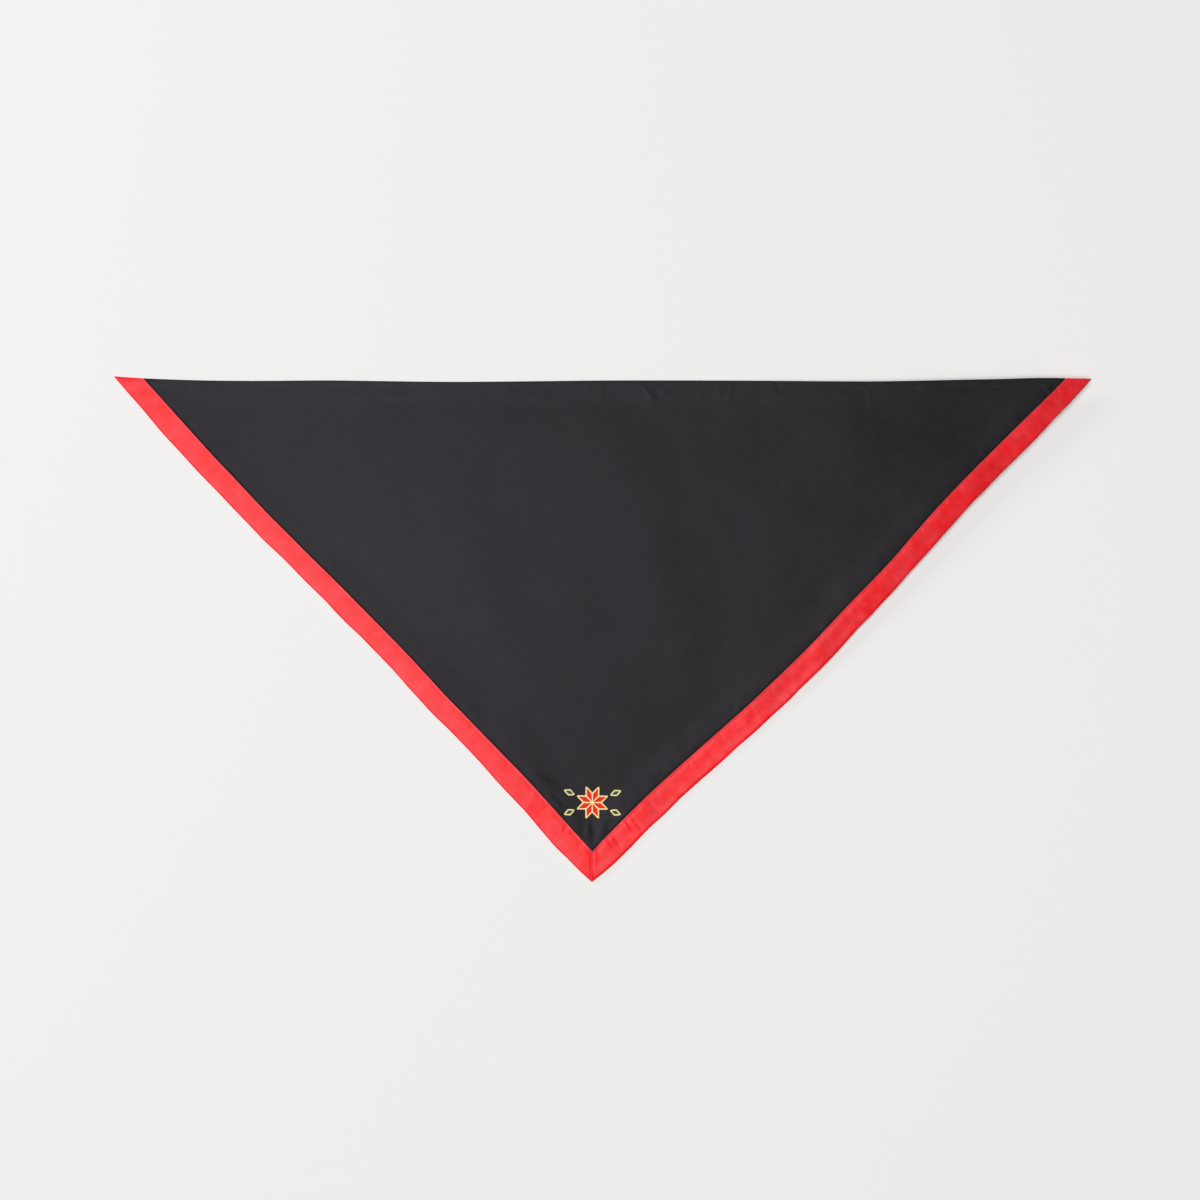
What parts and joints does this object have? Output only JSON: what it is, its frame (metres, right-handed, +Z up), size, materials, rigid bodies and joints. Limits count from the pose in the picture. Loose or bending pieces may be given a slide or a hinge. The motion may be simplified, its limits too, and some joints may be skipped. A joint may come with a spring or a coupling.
{
  "type": "neckerchief",
  "caption": "Triangular cloth neckerchief lying flat, with a hemmed long edge, a folded contrast border on the short edges and a small embroidered star with leaves above the tip.",
  "frame": {"origin": "middle of the footprint's bounding box, on the surface that the cloth lies on", "axes": "+X along the long edge, to the right in the picture; +Y from the tip to the long edge; +Z up"},
  "size_m": [0.9708, 0.5034, 0.0226],
  "materials": {
    "panel_cloth": "plain weave, matte",
    "border_cloth": "plain weave, matte",
    "red_thread": "satin stitch, soft sheen",
    "green_thread": "satin stitch, soft sheen",
    "gold_thread": "stitched cord, soft sheen"
  },
  "bodies": {
    "root": {"border_left": "border_cloth", "border_right": "border_cloth", "leaf_1": "green_thread", "leaf_2": "green_thread", "leaf_3": "green_thread", "leaf_4": "green_thread", "leaf_outline_1": "gold_thread", "leaf_outline_2": "gold_thread", "leaf_outline_3": "gold_thread", "leaf_outline_4": "gold_thread", "panel": "panel_cloth", "star_lozenge_1": "red_thread", "star_lozenge_2": "red_thread", "star_lozenge_3": "red_thread", "star_lozenge_4": "red_thread", "star_lozenge_5": "red_thread", "star_lozenge_6": "red_thread", "star_lozenge_7": "red_thread", "star_lozenge_8": "red_thread", "star_outline": "gold_thread"}
  },
  "joints": []
}
